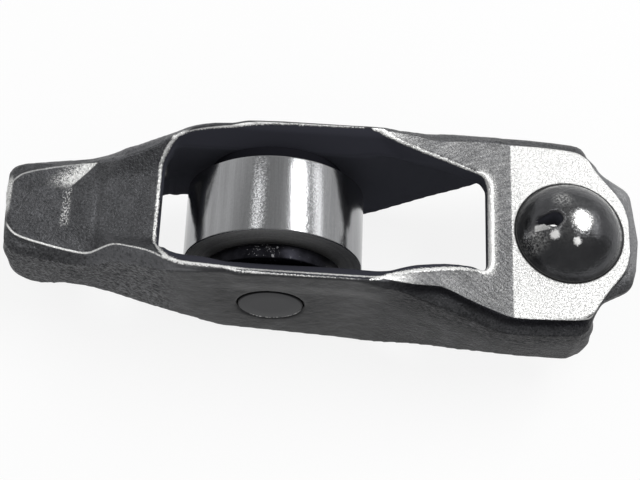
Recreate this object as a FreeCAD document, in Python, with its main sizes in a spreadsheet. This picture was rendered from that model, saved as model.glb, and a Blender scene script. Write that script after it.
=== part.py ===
import FreeCAD, Part
import math
import os
import Sketcher

# Roller rocker arm: a stamped steel channel that turns on a ball under its
# dome, is pushed down by a cam on its roller and opens a valve with its nose.
# Millimetres. The origin is the centre of the roller. +X points to the dome,
# +Y across the arm and +Z up, level with the plate round the dome.

os.makedirs("parts", exist_ok=True)
doc = FreeCAD.newDocument("RollerRockerArm")
sheet = doc.addObject("Spreadsheet::Sheet", "Sizes")
Vector = FreeCAD.Vector


class Size:
    """A length with the spreadsheet formula that gives it."""

    def __init__(self, value, formula):
        self.value = value
        self.formula = formula

    def __add__(self, other):
        other = as_size(other)
        return Size(self.value + other.value, f"({self.formula} + {other.formula})")

    def __sub__(self, other):
        other = as_size(other)
        return Size(self.value - other.value, f"({self.formula} - {other.formula})")

    def __mul__(self, other):
        other = as_size(other)
        return Size(self.value * other.value, f"({self.formula} * {other.formula})")

    def __truediv__(self, other):
        other = as_size(other)
        return Size(self.value / other.value, f"({self.formula} / {other.formula})")

    def __neg__(self):
        return Size(-self.value, f"(-1 * {self.formula})")

    def with_side(self, other):
        """Long side of the right triangle with these two short sides."""
        value = math.hypot(self.value, other.value)
        return Size(value, f"sqrt({self.formula} ^ 2 + {other.formula} ^ 2)")


def as_size(number):
    return number if isinstance(number, Size) else Size(float(number), f"({number})")


# Sheet metal
wall = 1.95  # side wall thickness
web = 2.2  # thickness of the plate and of the web over the channel

# Roller, its needles, washers and axle
roller_radius = 8.9  # outer radius of the roller
roller_side_play = 0.51  # clearance between the roller and each side washer
roller_edge = 0.3  # chamfer on the roller's outer edges
bore_edge = 0.25  # chamfer on the roller's bore
axle_radius = 3.2  # radius of the axle
axle_edge = 0.12  # chamfer on the axle's ends
stake_ring = 0.35  # width of the staked ring round the axle's end
stake_depth = 0.15  # depth of the staked ring
needle_radius = 1.0  # radius of a needle
needle_inset = 0.44  # how far a needle's ends lie inside the roller's sides
needle_edge = 0.15  # chamfer on a needle's ends
needle_count = 13  # needles in the row
bearing_play = 0.02  # radial clearance on each side of a needle
washer_radius = 6.9  # outer radius of a side washer
washer_thickness = 1.6  # thickness of a side washer
washer_play = 0.05  # radial clearance of a side washer on the axle
washer_edge = 0.15  # round on a side washer's rim

# Plan outline of the arm, outside of its walls
nose_end = -26.6  # X of the nose's end
nose_shoulder = -26.35  # X of the nose's corners
nose_half_width = 4.75  # half width at the nose's corners
nose_corner_round = 1.8  # round of the nose's corners in plan
neck_start = -20.0  # X where the neck starts
neck_half_width = 5.75  # half width there
neck_end = -15.5  # X where the neck ends
neck_end_half_width = 5.95  # half width there
body_start = -9.0  # X where the widest part round the roller starts
body_end = 8.5  # X where the part round the roller ends
body_half_width = 8.0  # half width round the roller
plate_start = 24.0  # X where the full width at the plate starts
plate_half_width = 10.75  # half width at the plate
flank_round = 18.0  # round where the side walls change direction
plate_shoulder = 31.7  # X of the plate's corners
shoulder_round = 2.2  # round of the plate's corners
waist_place = 32.6  # X of the waist behind the plate's corners
waist_half_width = 7.5  # half width of the waist
waist_round = 2.5  # round of the waist
tail_shoulder = 35.75  # X of the tail's corners
tail_half_width = 5.35  # half width at the tail's corners
tail_round = 1.7  # round of the tail's corners
tail_end = 36.35  # X of the tail's end

# Side view of the arm, upper line
nose_level = 2.95  # Z of the nose's flat top
shoulder_foot = -18.0  # X of the foot of the rise behind the nose
shoulder_top = -14.8  # X of the top of the rise behind the nose
shoulder_level = 5.45  # Z of the top of the rise behind the nose
rise_foot_round = 2.6  # round at the foot of the rise
rise_top_round = 2.4  # round at the top of the rise
rail_start = -9.0  # X where the walls' upper edge starts beside the roller
rail_start_level = 7.35  # Z of the walls' upper edge there
rail_place = -1.0  # X where the walls' upper edge levels out
rail_level = 8.15  # Z of the walls' upper edge there
rail_end = 8.9  # X where the ramp starts
rail_end_level = 8.28  # Z of the walls' upper edge where the ramp starts
ramp_middle = 17.0  # X where the ramp gets steeper
ramp_middle_level = 6.45  # Z where the ramp gets steeper
ramp_round = 12.0  # round along the ramp
rail_round = 30.0  # round along the walls' upper edge
crease_place = 23.4  # X of the crease between ramp and plate
plate_level = 3.87  # Z of the plate's top
crease_round = 2.0  # round of the crease

# Side view of the arm, lower line
flange_end = -25.9  # X where the nose's side flanges end
flange_level = -4.06  # Z of the nose's side flanges
flange_round = 2.2  # round of the flanges' corner
flange_heel = -22.6  # X where the flanges start to rise
heel_arch = -20.0  # X of the highest point of the edge behind the flanges
heel_arch_level = -2.75  # Z there
arch_start = -15.0  # X where the arch under the neck starts
arch_start_level = -4.1  # Z where the arch starts
arch_end = -9.2  # X where the arch ends
arch_end_level = -3.25  # Z where the arch ends
arch_round = 4.0  # round along the arch
belly_start = -5.0  # X where the belly starts
belly_start_level = -5.85  # Z where the belly starts
belly_end = 9.3  # X of the belly's lowest point
belly_end_level = -7.62  # Z of the belly's lowest point
belly_round = 2.5  # round at the belly's ends
skirt_start = 20.8  # X where the skirt under the plate starts
skirt_start_level = -2.2  # Z where the skirt starts
skirt_end = 32.1  # X where the skirt ends
skirt_end_level = -2.45  # Z of the skirt's corner
skirt_round = 2.6  # round of the skirt's corner

# Bends between the walls and the top
nose_bend = 1.1  # outer bend radius along the nose
neck_bend = 1.4  # outer bend radius along the rise
rail_bend = 0.3  # round of the walls' upper edge beside the roller
ramp_bend = 1.6  # outer bend radius at the middle of the ramp
plate_bend = 1.25  # outer bend radius round the plate

# Window over the roller
window_start = -11.5  # X of the window's end at the nose
window_end = 21.1  # X of the window's end at the plate
bevel_foot_level = 5.6  # Z of the foot of the walls' bevelled edge
bevel_top_level = 9.0  # Z up to which the bevel is cut
bevel_spread = 2.33  # how far the bevel opens outwards up to there
window_taper_low = 12.0  # X where the window narrows, at the foot
window_taper_top = 8.5  # X where the window narrows, at the top
window_end_half_width = 5.1  # half width of the window's end
window_nose_round = 2.3  # corner round of the window at the nose
window_nose_round_top = 4.2  # the same at the top of the bevel
window_plate_round = 1.2  # corner round of the window at the plate
window_taper_round = 6.0  # round where the window narrows

# Dished slope between the nose and the window
dish_start = -20.3  # X where the dish runs out on the nose
dish_end_level = 5.2  # Z of the dish at the window
dish_floor_start = 2.3  # half width of the dish's floor at the nose
dish_floor_end = 3.9  # half width of the dish's floor at the window
dish_side_rise = 5.44  # rise of the dish's sides over half the body's width
dish_round = 2.0  # round between the dish's floor and sides

# Channel under the arm
channel_half_width = 3.1  # half width of the valve channel
channel_end = -19.0  # X where the valve channel ends
pad_place = -21.8  # X of the valve pad's lowest line
pad_corner_level = 0.1  # Z where the pad's two slopes would meet
pad_end_level = 1.25  # Z of the pad's ends
pad_length = 12.2  # length of the pad
pad_radius = 17.0  # radius of the pad's curve

# Dome with the ball socket and its oil hole
dome_place = 29.13  # X of the dome's axis
dome_base_radius = 5.33  # radius of the dome's foot on the plate
socket_radius = 3.9  # radius of the ball socket
oil_hole_place = 2.1  # distance of the oil hole from the dome's axis
oil_hole_radius = 0.72  # radius of the oil hole's round end
oil_hole_corner = 1.115  # half width at which the hole's sides meet its end
oil_hole_round = 0.68  # corner round of the oil hole's round end
oil_hole_tip = 1.75  # length of the oil hole's tip

# How far the cutting and joining blocks reach past the arm
reach = 3.0  # overrun of the blocks that shape the arm

# All of these sizes go into the sheet, and the part takes them from there
measured = {name: value for name, value in globals().items() if isinstance(value, (int, float))}
for row, (alias, value) in enumerate(measured.items(), 1):
    sheet.set(f"A{row}", alias.replace("_", " "))
    sheet.set(f"B{row}", str(value))
    sheet.setAlias(f"B{row}", alias)
    globals()[alias] = Size(float(value), f"Sizes.{alias}")
doc.recompute()


def plane_of(body, role):
    return [f for f in body.Origin.OriginFeatures if f.Role == role][0]


def new_body(name):
    return doc.addObject("PartDesign::Body", name)


def outline(body, name, role, corners, offset=None):
    """A closed sketch through corners (across, up, round), each bound to the sheet."""
    sketch = body.newObject("Sketcher::SketchObject", name)
    sketch.AttachmentSupport = [(plane_of(body, role), "")]
    sketch.MapMode = "FlatFace"
    if offset is not None:
        sketch.AttachmentOffset = FreeCAD.Placement(Vector(0, 0, offset.value), FreeCAD.Rotation())
        sketch.setExpression("AttachmentOffset.Base.z", offset.formula)
    corners = [(as_size(c[0]), as_size(c[1]), c[2] if len(c) > 2 else None) for c in corners]
    count = len(corners)
    points = [Vector(c[0].value, c[1].value, 0) for c in corners]

    # Where each rounded corner leaves its two lines
    cuts = []
    for i, (point, corner) in enumerate(zip(points, corners)):
        if corner[2] is None:
            cuts.append((point, point, None))
            continue
        back = points[i - 1] - point
        ahead = points[(i + 1) % count] - point
        back, ahead = back / back.Length, ahead / ahead.Length
        half = math.acos(max(-1.0, min(1.0, back.dot(ahead)))) / 2
        run = corner[2].value / math.tan(half)
        middle = back + ahead
        centre = point + middle / middle.Length * (corner[2].value / math.sin(half))
        cuts.append((point + back * run, point + ahead * run, centre))

    lines = [
        sketch.addGeometry(Part.LineSegment(cuts[i][1], cuts[(i + 1) % count][0]), False)
        for i in range(count)
    ]
    limits = []
    for i, (point, corner) in enumerate(zip(points, corners)):
        before, after = lines[i - 1], lines[i]
        mark = sketch.addGeometry(Part.Point(point), True)
        limits.append((("DistanceX", -1, 1, mark, 1, point.x), corner[0].formula))
        limits.append((("DistanceY", -1, 1, mark, 1, point.y), corner[1].formula))
        enter, leave, centre = cuts[i]
        if centre is None:
            limits.append((("Coincident", before, 2, mark, 1), None))
            limits.append((("Coincident", after, 1, mark, 1), None))
            continue
        circle = Part.Circle(centre, Vector(0, 0, 1), corner[2].value)
        first = math.atan2(enter.y - centre.y, enter.x - centre.x)
        last = math.atan2(leave.y - centre.y, leave.x - centre.x)
        turns_left = (enter - centre).cross(leave - centre).z > 0
        if turns_left:
            arc = sketch.addGeometry(Part.ArcOfCircle(circle, first, last), False)
        else:
            arc = sketch.addGeometry(Part.ArcOfCircle(circle, last, first), False)
        ends = (1, 2) if turns_left else (2, 1)
        limits.append((("Tangent", before, 2, arc, ends[0]), None))
        limits.append((("Tangent", after, 1, arc, ends[1]), None))
        limits.append((("Radius", arc, corner[2].value), corner[2].formula))
        limits.append((("PointOnObject", mark, 1, before), None))
        limits.append((("PointOnObject", mark, 1, after), None))
    sketch.addConstraint([Sketcher.Constraint(*limit) for limit, formula in limits])
    for i, (limit, formula) in enumerate(limits):
        if formula:
            sketch.setExpression(f"Constraints[{i}]", formula)
    return sketch


def pad(body, name, sketch, length, reverse=False):
    feature = body.newObject("PartDesign::Pad", name)
    feature.Profile = sketch
    feature.Length = length.value
    feature.setExpression("Length", length.formula)
    feature.Reversed = reverse
    sketch.Visibility = False
    return feature


def boolean(kind, name, base, tool):
    feature = doc.addObject(kind, name)
    feature.Base = base
    feature.Tool = tool
    feature.Refine = True
    doc.recompute()
    return feature


# Outer form of one half of the arm: side view and plan view in common
side_corners = [
    (nose_end - reach, nose_level),
    (nose_end - reach, pad_corner_level),
    (flange_end, pad_corner_level),
    (flange_end, flange_level, flange_round),
    (flange_heel, flange_level, arch_round),
    (heel_arch, heel_arch_level, arch_round),
    (arch_start, arch_start_level, arch_round),
    (arch_end, arch_end_level, arch_round),
    (belly_start, belly_start_level, belly_round),
    (belly_end, belly_end_level, belly_round),
    (skirt_start, skirt_start_level, arch_round),
    (skirt_end, skirt_end_level, skirt_round),
    (skirt_end, plate_level - web),
    (tail_end + reach, plate_level - web),
    (tail_end + reach, plate_level),
    (crease_place, plate_level, crease_round),
    (ramp_middle, ramp_middle_level, ramp_round),
    (rail_end, rail_end_level, ramp_round),
    (rail_place, rail_level, rail_round),
    (rail_start, rail_start_level, rail_round),
    (shoulder_top, shoulder_level, rise_top_round),
    (shoulder_foot, nose_level, rise_foot_round),
]
side_block = new_body("side_block")
side_sketch = outline(side_block, "side_outline", "XZ_Plane", side_corners)
pad(side_block, "side_pad", side_sketch, plate_half_width + reach, reverse=True)

plan_corners = [
    (nose_end, 0),
    (nose_shoulder, nose_half_width, nose_corner_round),
    (neck_start, neck_half_width, flank_round),
    (neck_end, neck_end_half_width, flank_round),
    (body_start, body_half_width, flank_round),
    (body_end, body_half_width, flank_round),
    (plate_start, plate_half_width, flank_round),
    (plate_shoulder, plate_half_width, shoulder_round),
    (waist_place, waist_half_width, waist_round),
    (tail_shoulder, tail_half_width, tail_round),
    (tail_end, 0),
]
plan_block = new_body("plan_block")
plan_sketch = outline(
    plan_block, "plan_outline", "XY_Plane", plan_corners, belly_end_level - reach
)
pad(plan_block, "plan_pad", plan_sketch, bevel_top_level - belly_end_level + reach + reach)
outer_half = boolean("Part::Common", "outer_half", side_block, plan_block)


def bend_at(x):
    """Outer bend radius between wall and top at a place along the arm."""
    stations = [
        (shoulder_foot.value, nose_bend.value),
        ((shoulder_foot.value + shoulder_top.value) / 2, neck_bend.value),
        (window_start.value, neck_bend.value),
        (body_start.value, rail_bend.value),
        (body_end.value, rail_bend.value),
        (ramp_middle.value, ramp_bend.value),
        (crease_place.value, plate_bend.value),
    ]
    if x <= stations[0][0]:
        return stations[0][1]
    for (x0, r0), (x1, r1) in zip(stations, stations[1:]):
        if x <= x1:
            return r0 + (r1 - r0) * (x - x0) / (x1 - x0)
    return stations[-1][1]


level_tolerance = 0.001
steepest_top = 0.3


def upward(face, point):
    """Height of the unit normal of a face at a point on it."""
    return face.normalAt(*face.Surface.parameter(point)).z


def rim_edges(shape):
    """Edges where an upward face meets a vertical wall away from the middle plane."""
    found = []
    for number, edge in enumerate(shape.Edges, 1):
        middle = edge.valueAt((edge.FirstParameter + edge.LastParameter) / 2)
        faces = shape.ancestorsOfType(edge, Part.Face)
        low = middle.z < nose_level.value - level_tolerance
        if middle.y < level_tolerance or low or len(faces) != 2:
            continue
        heights = sorted(abs(upward(face, middle)) for face in faces)
        if heights[0] < level_tolerance and heights[1] > steepest_top:
            found.append((number, edge))
    return found


bends = doc.addObject("Part::Fillet", "bends")
bends.Base = outer_half
bends.Edges = [
    (
        number,
        bend_at(edge.valueAt(edge.FirstParameter).x),
        bend_at(edge.valueAt(edge.LastParameter).x),
    )
    for number, edge in rim_edges(outer_half.Shape)
]
doc.recompute()

# Channel under the arm: the same two views, inside the walls and the web
channel_floor = belly_end_level - reach
channel_side_corners = [
    (nose_end - reach, channel_floor),
    (tail_end + reach, channel_floor),
    (tail_end + reach, plate_level - web),
    (crease_place, plate_level - web, crease_round),
    (ramp_middle, ramp_middle_level - web, ramp_round),
    (rail_end, rail_end_level - web),
    (body_start, rail_level - web),
    (window_start, dish_end_level - web),
    (pad_place + pad_length / 2, pad_end_level, crease_round),
    (pad_place, pad_corner_level, pad_radius),
    (pad_place - pad_length / 2, pad_end_level),
    (nose_end - reach, pad_end_level),
]
channel_side = new_body("channel_side")
channel_side_sketch = outline(channel_side, "channel_side_outline", "XZ_Plane", channel_side_corners)
pad(channel_side, "channel_side_pad", channel_side_sketch, plate_half_width, reverse=True)

channel_plan_corners = [
    (nose_end - reach, 0),
    (nose_end - reach, channel_half_width),
    (channel_end, channel_half_width, flank_round),
    (body_start, body_half_width - wall, flank_round),
    (body_end, body_half_width - wall, flank_round),
    (plate_start, plate_half_width - wall, flank_round),
    (tail_end + reach, plate_half_width - wall),
    (tail_end + reach, 0),
]
channel_plan = new_body("channel_plan")
channel_plan_sketch = outline(
    channel_plan, "channel_plan_outline", "XY_Plane", channel_plan_corners, belly_end_level - reach
)
pad(channel_plan, "channel_plan_pad", channel_plan_sketch, plate_level - belly_end_level + reach + reach)
doc.recompute()
channel = boolean("Part::Common", "channel", channel_side, channel_plan)
hollow_half = boolean("Part::Cut", "hollow_half", bends, channel)

# Window over the roller: straight up to the bevel's foot, then opening outwards
window = new_body("window")
window_low = outline(
    window,
    "window_foot",
    "XY_Plane",
    [
        (window_start, 0),
        (window_start, body_half_width - wall, window_nose_round),
        (window_taper_low, body_half_width - wall, window_taper_round),
        (window_end, window_end_half_width, window_plate_round),
        (window_end, 0),
    ],
    bevel_foot_level,
)
window_high = outline(
    window,
    "window_mouth",
    "XY_Plane",
    [
        (window_start, 0),
        (window_start, body_half_width - wall + bevel_spread, window_nose_round_top),
        (window_taper_top, body_half_width - wall + bevel_spread, window_taper_round),
        (window_end, window_end_half_width, window_plate_round),
        (window_end, 0),
    ],
    bevel_top_level,
)
pad(window, "window_shaft", window_low, bevel_foot_level - belly_end_level + reach, reverse=True)
doc.recompute()
bevel = window.newObject("PartDesign::AdditiveLoft", "window_bevel")
bevel.Profile = window_low
bevel.Sections = [window_high]
bevel.Ruled = True
doc.recompute()

# Dished slope between the nose and the window
dish = new_body("dish")


def dish_section(name, place, floor_half_width, level):
    """Flat floor, then a side that rises outwards past the wall."""
    side_run = body_half_width
    return outline(
        dish,
        name,
        "YZ_Plane",
        [
            (0, level),
            (floor_half_width, level, dish_round),
            (floor_half_width + side_run, level + dish_side_rise),
            (floor_half_width + side_run, rail_end_level + side_run),
            (0, rail_end_level + side_run),
        ],
        place,
    )


dish_low = dish_section("dish_foot", dish_start, dish_floor_start, nose_level)
dish_high = dish_section("dish_head", window_start + wall, dish_floor_end, dish_end_level)
trough = dish.newObject("PartDesign::AdditiveLoft", "dish_trough")
trough.Profile = dish_low
trough.Sections = [dish_high]
trough.Ruled = True
doc.recompute()

open_half = boolean("Part::Cut", "open_half", hollow_half, window)
arm_half = boolean("Part::Cut", "arm_half", open_half, dish)
other_half = doc.addObject("Part::Mirroring", "other_half")
other_half.Source = arm_half
other_half.Normal = Vector(0, 1, 0)
channel_arm = boolean("Part::Fuse", "channel_arm", arm_half, other_half)


def cylinder(name, radius, height, base, axis):
    """A round block, its radius and height bound to the sheet."""
    feature = doc.addObject("Part::Cylinder", name)
    feature.setExpression("Radius", radius.formula)
    feature.setExpression("Height", height.formula)
    place(feature, base, FreeCAD.Rotation(Vector(0, 0, 1), axis))
    return feature


def place(feature, base, rotation=FreeCAD.Rotation()):
    """Puts a feature at a place worked out from the sheet."""
    base = [as_size(length) for length in base]
    feature.Placement = FreeCAD.Placement(Vector(*[length.value for length in base]), rotation)
    for letter, length in zip("xyz", base):
        feature.setExpression(f"Placement.Base.{letter}", length.formula)


# Dome drawn up out of the plate, round the ball that it turns on
socket_level = plate_level - web
dome = doc.addObject("Part::Sphere", "dome")
dome.setExpression("Radius", dome_base_radius.with_side(web).formula)
dome.Angle1 = 0
place(dome, (dome_place, 0, socket_level))
socket = doc.addObject("Part::Sphere", "socket")
socket.setExpression("Radius", socket_radius.formula)
place(socket, (dome_place, 0, socket_level))
domed_arm = boolean("Part::Fuse", "domed_arm", channel_arm, dome)
socket_arm = boolean("Part::Cut", "socket_arm", domed_arm, socket)

# Oil hole through the dome's flank, round at the top with a tip towards the roller
oil_hole = new_body("oil_hole")
oil_sketch = outline(
    oil_hole,
    "oil_outline",
    "XY_Plane",
    [
        (dome_place - oil_hole_place + oil_hole_radius, oil_hole_corner, oil_hole_round),
        (dome_place - oil_hole_place - oil_hole_tip, 0),
        (dome_place - oil_hole_place + oil_hole_radius, -oil_hole_corner, oil_hole_round),
    ],
    socket_level,
)
pad(oil_hole, "oil_pad", oil_sketch, dome_base_radius + web)
doc.recompute()
drilled_arm = boolean("Part::Cut", "drilled_arm", socket_arm, oil_hole)

# Bore for the axle, with the staked ring round each end
bore_start = -body_half_width - reach
axle_bore = cylinder(
    "axle_bore", axle_radius, (body_half_width + reach) * 2, (0, bore_start, 0), Vector(0, 1, 0)
)
bored_arm = boolean("Part::Cut", "bored_arm", drilled_arm, axle_bore)


def stake(name, side):
    """Shallow cone pressed into the wall round the axle's end."""
    feature = doc.addObject("Part::Cone", name)
    feature.setExpression("Radius1", (axle_radius + stake_ring).formula)
    feature.setExpression("Radius2", axle_radius.formula)
    feature.setExpression("Height", stake_depth.formula)
    inwards = Vector(0, -side, 0)
    place(feature, (0, body_half_width * side, 0), FreeCAD.Rotation(Vector(0, 0, 1), inwards))
    return feature


staked_arm = boolean("Part::Cut", "staked_arm", bored_arm, stake("stake_back", 1))
arm = boolean("Part::Cut", "arm", staked_arm, stake("stake_front", -1))


def turned(name, corners):
    """A round piece about the Y axis, from its half section (radius, Y, round)."""
    body = new_body(name)
    sketch = outline(body, name + "_section", "XY_Plane", corners)
    feature = body.newObject("PartDesign::Revolution", name + "_turned")
    feature.Profile = sketch
    feature.ReferenceAxis = (sketch, ["V_Axis"])
    feature.Angle = 360
    sketch.Visibility = False
    return body


# Axle, flush with the walls' outside
roller_axle = turned(
    "roller_axle",
    [
        (0, -body_half_width),
        (axle_radius - axle_edge, -body_half_width),
        (axle_radius, axle_edge - body_half_width),
        (axle_radius, body_half_width - axle_edge),
        (axle_radius - axle_edge, body_half_width),
        (0, body_half_width),
    ],
)

# Roller ring, which runs on the needles
bore_radius = axle_radius + needle_radius * 2 + bearing_play * 2
ring_side = body_half_width - wall - washer_thickness - roller_side_play
roller_ring = turned(
    "roller_ring",
    [
        (bore_radius + bore_edge, -ring_side),
        (roller_radius, -ring_side, roller_edge),
        (roller_radius, ring_side, roller_edge),
        (bore_radius + bore_edge, ring_side),
        (bore_radius, ring_side - bore_edge),
        (bore_radius, bore_edge - ring_side),
    ],
)


def side_washer(name, side):
    """Washer on the axle, against the inside of one wall."""
    wall_face = (body_half_width - wall) * side
    ring_face = (body_half_width - wall - washer_thickness) * side
    return turned(
        name,
        [
            (axle_radius + washer_play, ring_face),
            (washer_radius, ring_face, washer_edge),
            (washer_radius, wall_face, washer_edge),
            (axle_radius + washer_play, wall_face),
        ],
    )


washers = [side_washer("side_washer_front", -1), side_washer("side_washer_back", 1)]


def needle(number):
    """One needle of the row between the axle and the ring."""
    needle_side = ring_side - needle_inset
    body = turned(
        f"needle_{number:02d}",
        [
            (0, -needle_side),
            (needle_radius, -needle_side, needle_edge),
            (needle_radius, needle_side, needle_edge),
            (0, needle_side),
        ],
    )
    row_radius = axle_radius + bearing_play + needle_radius
    turn = 2 * math.pi * (number - 1) / needle_count.value
    angle = f"(360 deg * {number - 1} / Sizes.needle_count)"
    across = Size(row_radius.value * math.sin(turn), f"{row_radius.formula} * sin{angle}")
    up = Size(row_radius.value * math.cos(turn), f"{row_radius.formula} * cos{angle}")
    place(body, (across, 0, up))
    return body


needles = [needle(number) for number in range(1, int(needle_count.value) + 1)]
doc.recompute()

# Every feature has to be sound before anything is written
for feature in doc.Objects:
    if "Invalid" in feature.State or "Error" in feature.State:
        raise RuntimeError(f"{feature.Name} failed: {feature.State}")
pieces = [arm, roller_axle, roller_ring] + washers + needles
for piece in pieces:
    shape = piece.Shape
    if shape.isNull() or not shape.isValid() or len(shape.Solids) != 1:
        raise RuntimeError(f"{piece.Label} is not one sound solid")
for piece in pieces:
    piece.Shape.exportStep(f"parts/{piece.Label}.step")
print(len(pieces), "pieces written")
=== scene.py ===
import math
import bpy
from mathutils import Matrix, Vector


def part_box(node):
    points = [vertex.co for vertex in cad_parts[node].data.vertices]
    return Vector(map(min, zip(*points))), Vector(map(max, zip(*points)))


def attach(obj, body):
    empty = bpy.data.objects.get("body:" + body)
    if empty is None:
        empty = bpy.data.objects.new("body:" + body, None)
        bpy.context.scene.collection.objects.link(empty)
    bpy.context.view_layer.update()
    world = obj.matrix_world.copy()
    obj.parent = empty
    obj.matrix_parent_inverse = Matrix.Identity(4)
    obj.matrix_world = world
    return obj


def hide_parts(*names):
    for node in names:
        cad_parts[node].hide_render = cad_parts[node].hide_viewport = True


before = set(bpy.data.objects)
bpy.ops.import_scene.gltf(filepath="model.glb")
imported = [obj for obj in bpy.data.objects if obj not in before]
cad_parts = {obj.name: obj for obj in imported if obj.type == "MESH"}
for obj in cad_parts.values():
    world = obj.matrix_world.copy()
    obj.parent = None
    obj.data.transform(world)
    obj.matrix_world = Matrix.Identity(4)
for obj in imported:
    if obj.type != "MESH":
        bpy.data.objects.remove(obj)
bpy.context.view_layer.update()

from types import SimpleNamespace

import bmesh
import bpy
import numpy as np
from mathutils import Matrix, Vector, kdtree

bl_info = {
    "name": "Roller Rocker Arm",
    "version": (1, 0, 0),
    "blender": (4, 5, 0),
    "location": "3D View > Sidebar > Rocker Arm",
    "description": "Dresses a stamped roller rocker arm and sets it on a studio floor",
    "category": "Object",
}

MM = 0.001
NEEDLES = sorted(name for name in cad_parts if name.startswith("needle_"))

# Sizes from the frame, in millimetres
ROLLER_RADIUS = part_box("roller_ring")[1].z / MM
ROLLER_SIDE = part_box("roller_ring")[1].y / MM
AXLE_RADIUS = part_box("roller_axle")[1].z / MM
AXLE_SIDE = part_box("roller_axle")[1].y / MM
WASHER_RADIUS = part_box("side_washer_back")[1].z / MM
WASHER_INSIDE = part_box("side_washer_back")[0].y / MM
WASHER_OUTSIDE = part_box("side_washer_back")[1].y / MM

# Bores, rounds and chamfers of the turned pieces, in millimetres
ROLLER_BORE = 5.24
ROLLER_ROUND = 0.12
BORE_CHAMFER = 0.25
AXLE_ROUND = 0.14
WASHER_ROUND = 0.22
WASHER_PLAY = 0.05
NEEDLE_CHAMFER = 0.15

# Steps along and round a needle
NEEDLE_STEPS = 29
NEEDLE_SIDES = 24

# Places, slopes and small shifts on the arm, in millimetres
NOSE_TOP = 2.95
NOSE_FOOT = -20.3
NOSE_FOOT_WIDTH = 2.2
NOSE_FOOT_SLANT = 0.85
NOSE_SLOPE = 0.209
NECK_X = -17.2
WINDOW_START = -11.75
WINDOW_SLANT = 0.6
WINDOW_STRAIGHT = 4.5
RAIL_START = -10.0
RAIL_END = 11.0
RAMP_START = 9.2
CREASE_X = 23.4
PLATE_TOP = 3.87
PLATE_CORNER_X = 31.25
COINED_FALL = 0.28
TAIL_LIFT = 1.4

# The dome is part of a ball. Its painted highlights are (X, Y, size), its scuffs (X, Y, core, edge).
DOME_X = 29.13
DOME_FOOT = 5.3
DOME_BALL = 5.766
DOME_BALL_Z = 1.67
GROOVE_RADIUS = 5.42
GROOVE_DEPTH = 0.10
OIL_HOLE_X = 26.9
HOLE_LEAN = 0.34
DOME_HIGHLIGHTS = ((29.6, -0.15, 1.12), (27.05, -1.65, 0.5), (29.2, -2.3, 0.42))
DOME_SCUFFS = ((25.4, -1.9, 0.5, 1.7), (27.9, 2.2, 0.3, 1.3))

# Edge of the flat coined top seen from above, as (X, half width) from the nose to the tail
TOP_EDGE = (
    (-26.5, 1.6), (-25.65, 3.0), (-24.6, 3.6), (-21.6, 4.37), (-18.2, 5.02), (-16.7, 4.72), (-15.4, 4.6),
    (-13.7, 5.02), (-11.7, 5.74), (-10.5, 6.53), (-8.9, 7.15), (-6.9, 7.45), (-4.0, 7.72), (-1.2, 7.84),
    (8.0, 7.9), (10.0, 7.88), (12.9, 8.0), (14.4, 7.92), (15.7, 7.76), (16.9, 8.0), (18.9, 8.6),
    (21.0, 9.05), (23.3, 9.5), (28.9, 9.35), (30.6, 9.12), (31.35, 8.5), (31.8, 7.55), (33.1, 5.7),
    (34.1, 4.5), (34.8, 3.3), (35.15, 1.8),
)

# How much lower the walls' bottom edge lies than the solid's, as (X, drop)
BOTTOM_DROP = (
    (-26.5, 0.35), (-23.0, 0.3), (-21.5, 0.12), (-15.0, 0.15), (-14.0, 0.4), (-12.0, 0.6), (-9.0, 0.75),
    (-7.5, 0.5), (-6.0, 0.25), (-4.0, 0.3), (9.5, 0.3), (11.0, 0.5), (15.5, 0.55), (17.2, 0.65),
    (19.3, 0.95), (20.5, 1.0), (22.4, 0.5), (24.0, 0.6), (27.0, 0.75), (29.5, 1.3), (30.8, 1.3),
    (31.6, 0.0), (36.0, 0.0),
)

# How much further out the flanks lie, as (X, shift)
FLANK_SHIFT = (
    (14.5, 0.0), (18.5, 0.2), (22.0, 0.28), (24.5, 0.1), (26.0, 0.0), (28.0, -0.1), (30.5, -0.3),
    (31.5, 0.0),
)

# How far the bend is pulled in at the plate's corners, as (degrees about the dome, pull)
CORNER_PULL = ((25, 0.0), (40, 0.35), (50, 0.5), (60, 0.65), (69, 0.8), (78, 0.35), (85, 0.0))

# Smoothing: shares of the rounds that keep the arm's size, and rounds at the nose and under the edge
EVEN_SHARES = [0.6, -0.62] * 10
NOSE_ROUNDS = 14
EDGE_ROUNDS = 5

# Least angle of a lip with a painted highlight, spacing of its points in millimetres, largest angle of
# smooth shading
LIP_ANGLE = math.radians(24)
LIP_SPACING = 0.06
SMOOTH_ANGLE = math.radians(35)

# Stage: floor and lamps in metres, and the photograph's camera in millimetres
FLOOR_SIZE = 4.0
FLOOR_GAP = 0.00002
LAMP_DISTANCE = 0.36
CAMERA_PLACE = (-2.228, -63.941, 135.453)
CAMERA_AXES = (
    (0.997131, 0.035134, 0.067048), (0.060161, -0.905411, -0.420253), (0.045941, 0.423081, -0.904927),
)
CAMERA_LENS = 83.76

# Lamps as (turn, lean, spread, length, share of the key light), read by the function lamp
LAMPS = {
    "key_lamp": (28, 0.30, 8, 0.26, 1.0),
    "left_strip": (-23, 0.2, 4.0, 0.28, 0.24),
    "right_strip": (54, 0.3, 5, 0.26, 0.22),
}

# Brightness of the room that reflections show: behind, how much less high up, and ahead
ROOM_BEHIND = 0.85
ROOM_FALL = 0.4
ROOM_AHEAD = 0.36
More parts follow.
